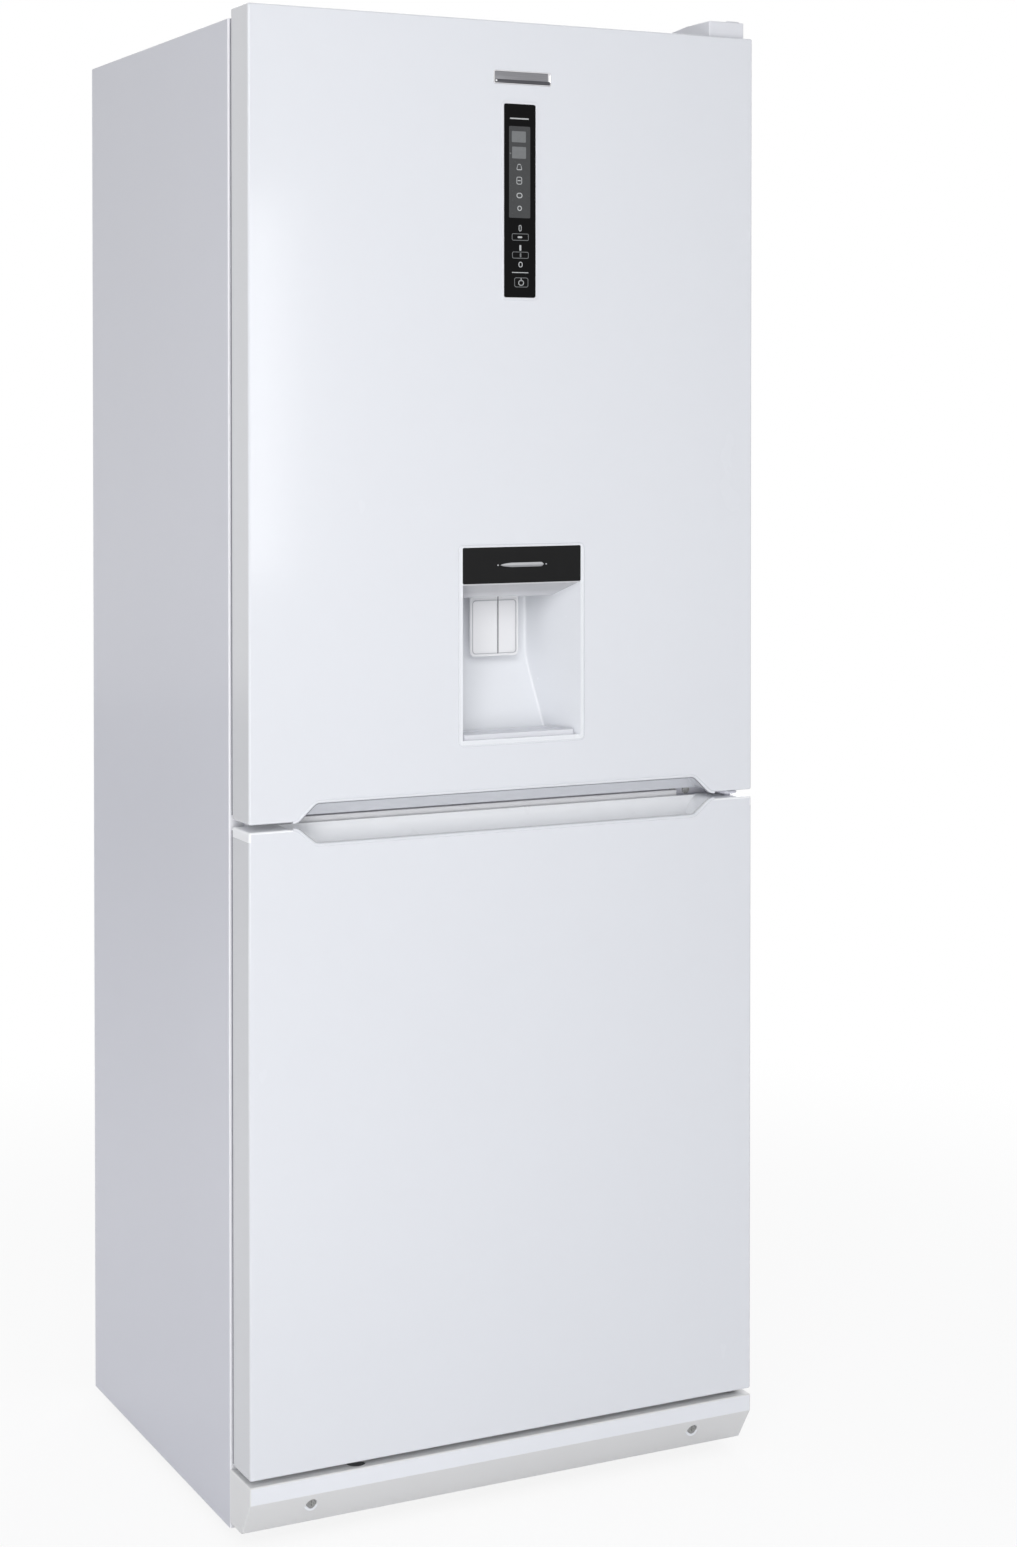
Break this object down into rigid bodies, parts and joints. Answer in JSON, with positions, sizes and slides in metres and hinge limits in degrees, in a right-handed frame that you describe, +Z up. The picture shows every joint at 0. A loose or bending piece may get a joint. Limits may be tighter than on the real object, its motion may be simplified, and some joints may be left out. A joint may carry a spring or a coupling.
{
  "type": "fridge freezer",
  "caption": "Upright fridge freezer with a fridge door over a freezer door, pocket grips between them, a touch panel, a water dispenser recess and a slanted plinth.",
  "frame": {"origin": "on the floor, under the middle of the overall box", "axes": "+X to the right of a person facing the doors, +Y to the back, +Z up"},
  "size_m": [0.7, 0.6414, 1.8813],
  "materials": {
    "door_paint": "gloss",
    "case_paint": "satin",
    "back_sheet": "satin",
    "zinc_steel": "satin",
    "white_plastic": "satin",
    "liner_plastic": "satin",
    "foam": "matte",
    "seal_rubber": "matte",
    "black_gloss": "gloss",
    "bright_trim": "satin",
    "clear_plastic": "gloss",
    "shelf_glass": "gloss",
    "black_shell": "satin",
    "coil_metal": "satin",
    "dark_plastic": "matte",
    "lamp_plastic": "satin"
  },
  "bodies": {
    "cabinet": {"outer_wrap": "case_paint", "back_panel": "back_sheet", "base_pan": "zinc_steel", "mullion_rail": "case_paint", "fridge_liner": "liner_plastic", "freezer_liner": "liner_plastic", "cabinet_foam": "foam", "fridge_shelf_1": "shelf_glass", "fridge_shelf_2": "shelf_glass", "fridge_shelf_3": "shelf_glass", "crisper_cover": "shelf_glass", "air_duct": "liner_plastic", "light_lens": "lamp_plastic", "evaporator_cover": "liner_plastic", "evaporator": "coil_metal", "fan_motor": "dark_plastic", "machine_plate": "zinc_steel", "compressor": "black_shell", "condenser": "black_shell", "mains_inlet": "dark_plastic", "top_hinge": "zinc_steel", "top_hinge_cover": "white_plastic", "middle_hinge": "zinc_steel", "bottom_hinge": "zinc_steel", "hinge_screws": "zinc_steel", "plinth": "white_plastic", "plinth_screws": "zinc_steel"},
    "fridge_door": {"fridge_door_skin": "door_paint", "fridge_door_top_cap": "white_plastic", "fridge_door_bottom_cap": "white_plastic", "fridge_door_liner": "liner_plastic", "fridge_door_foam": "foam", "fridge_door_gasket": "seal_rubber", "door_bin_1": "clear_plastic", "door_bin_2": "clear_plastic", "door_bin_3": "clear_plastic", "control_panel": "black_gloss", "badge_plate": "bright_trim", "dispenser_housing": "white_plastic", "dispenser_fascia": "black_gloss", "dispenser_accent": "bright_trim", "drip_tray": "white_plastic", "dispenser_nozzle": "white_plastic", "water_tank": "clear_plastic"},
    "freezer_door": {"freezer_door_skin": "door_paint", "freezer_door_top_cap": "white_plastic", "freezer_door_bottom_cap": "white_plastic", "freezer_door_liner": "liner_plastic", "freezer_door_foam": "foam", "freezer_door_gasket": "seal_rubber"},
    "paddle": {"dispenser_paddle": "white_plastic"},
    "crisper": {"crisper_drawer": "clear_plastic"},
    "freezer_drawer_top": {"freezer_drawer_top": "clear_plastic"},
    "freezer_drawer_middle": {"freezer_drawer_middle": "clear_plastic"},
    "freezer_drawer_bottom": {"freezer_drawer_bottom": "clear_plastic"},
    "foot_left": {"foot_left": "dark_plastic"},
    "foot_right": {"foot_right": "dark_plastic"},
    "roller_left": {"roller_left": "dark_plastic"},
    "roller_right": {"roller_right": "dark_plastic"},
    "fan": {"fan_rotor": "white_plastic"}
  },
  "joints": [
    {"name": "fridge_door_hinge", "type": "hinge", "parent": "cabinet", "child": "fridge_door", "pos_m": [0.328, -0.29425, 1.369], "axis": [0, 0, 1], "range_deg": [0, 125]},
    {"name": "freezer_door_hinge", "type": "hinge", "parent": "cabinet", "child": "freezer_door", "pos_m": [0.328, -0.29425, 0.4815], "axis": [0, 0, 1], "range_deg": [0, 125]},
    {"name": "paddle_hinge", "type": "hinge", "parent": "fridge_door", "child": "paddle", "pos_m": [0.0142, -0.23925, 1.1597], "axis": [1, 0, 0], "range_deg": [0, 8], "stiffness_Nm_per_rad": 0.3, "springref_deg": -5.73},
    {"name": "crisper_slide", "type": "slide", "parent": "cabinet", "child": "crisper", "axis": [0, -1, 0], "range_m": [0, 0.26]},
    {"name": "freezer_drawer_top_slide", "type": "slide", "parent": "cabinet", "child": "freezer_drawer_top", "axis": [0, -1, 0], "range_m": [0, 0.25]},
    {"name": "freezer_drawer_middle_slide", "type": "slide", "parent": "cabinet", "child": "freezer_drawer_middle", "axis": [0, -1, 0], "range_m": [0, 0.25]},
    {"name": "freezer_drawer_bottom_slide", "type": "slide", "parent": "cabinet", "child": "freezer_drawer_bottom", "axis": [0, -1, 0], "range_m": [0, 0.18]},
    {"name": "foot_left_turn", "type": "hinge", "parent": "cabinet", "child": "foot_left", "pos_m": [-0.29, -0.20665, 0.02], "axis": [0, 0, 1], "continuous": true},
    {"name": "foot_right_turn", "type": "hinge", "parent": "cabinet", "child": "foot_right", "pos_m": [0.29, -0.20665, 0.02], "axis": [0, 0, 1], "continuous": true},
    {"name": "roller_left_spin", "type": "hinge", "parent": "cabinet", "child": "roller_left", "pos_m": [-0.29, 0.24675, 0.015], "axis": [1, 0, 0], "continuous": true},
    {"name": "roller_right_spin", "type": "hinge", "parent": "cabinet", "child": "roller_right", "pos_m": [0.29, 0.24675, 0.015], "axis": [1, 0, 0], "continuous": true},
    {"name": "fan_spin", "type": "hinge", "parent": "cabinet", "child": "fan", "pos_m": [0, 0.16075, 0.7559], "axis": [0, 1, 0], "continuous": true}
  ],
  "couplings": [
    {"joint": "crisper_slide", "follows": "fridge_door_hinge", "m_per_rad": 0.11},
    {"joint": "freezer_drawer_top_slide", "follows": "freezer_door_hinge", "m_per_rad": 0.07},
    {"joint": "freezer_drawer_middle_slide", "follows": "freezer_door_hinge", "m_per_rad": 0.07},
    {"joint": "freezer_drawer_bottom_slide", "follows": "freezer_door_hinge", "m_per_rad": 0.07}
  ]
}
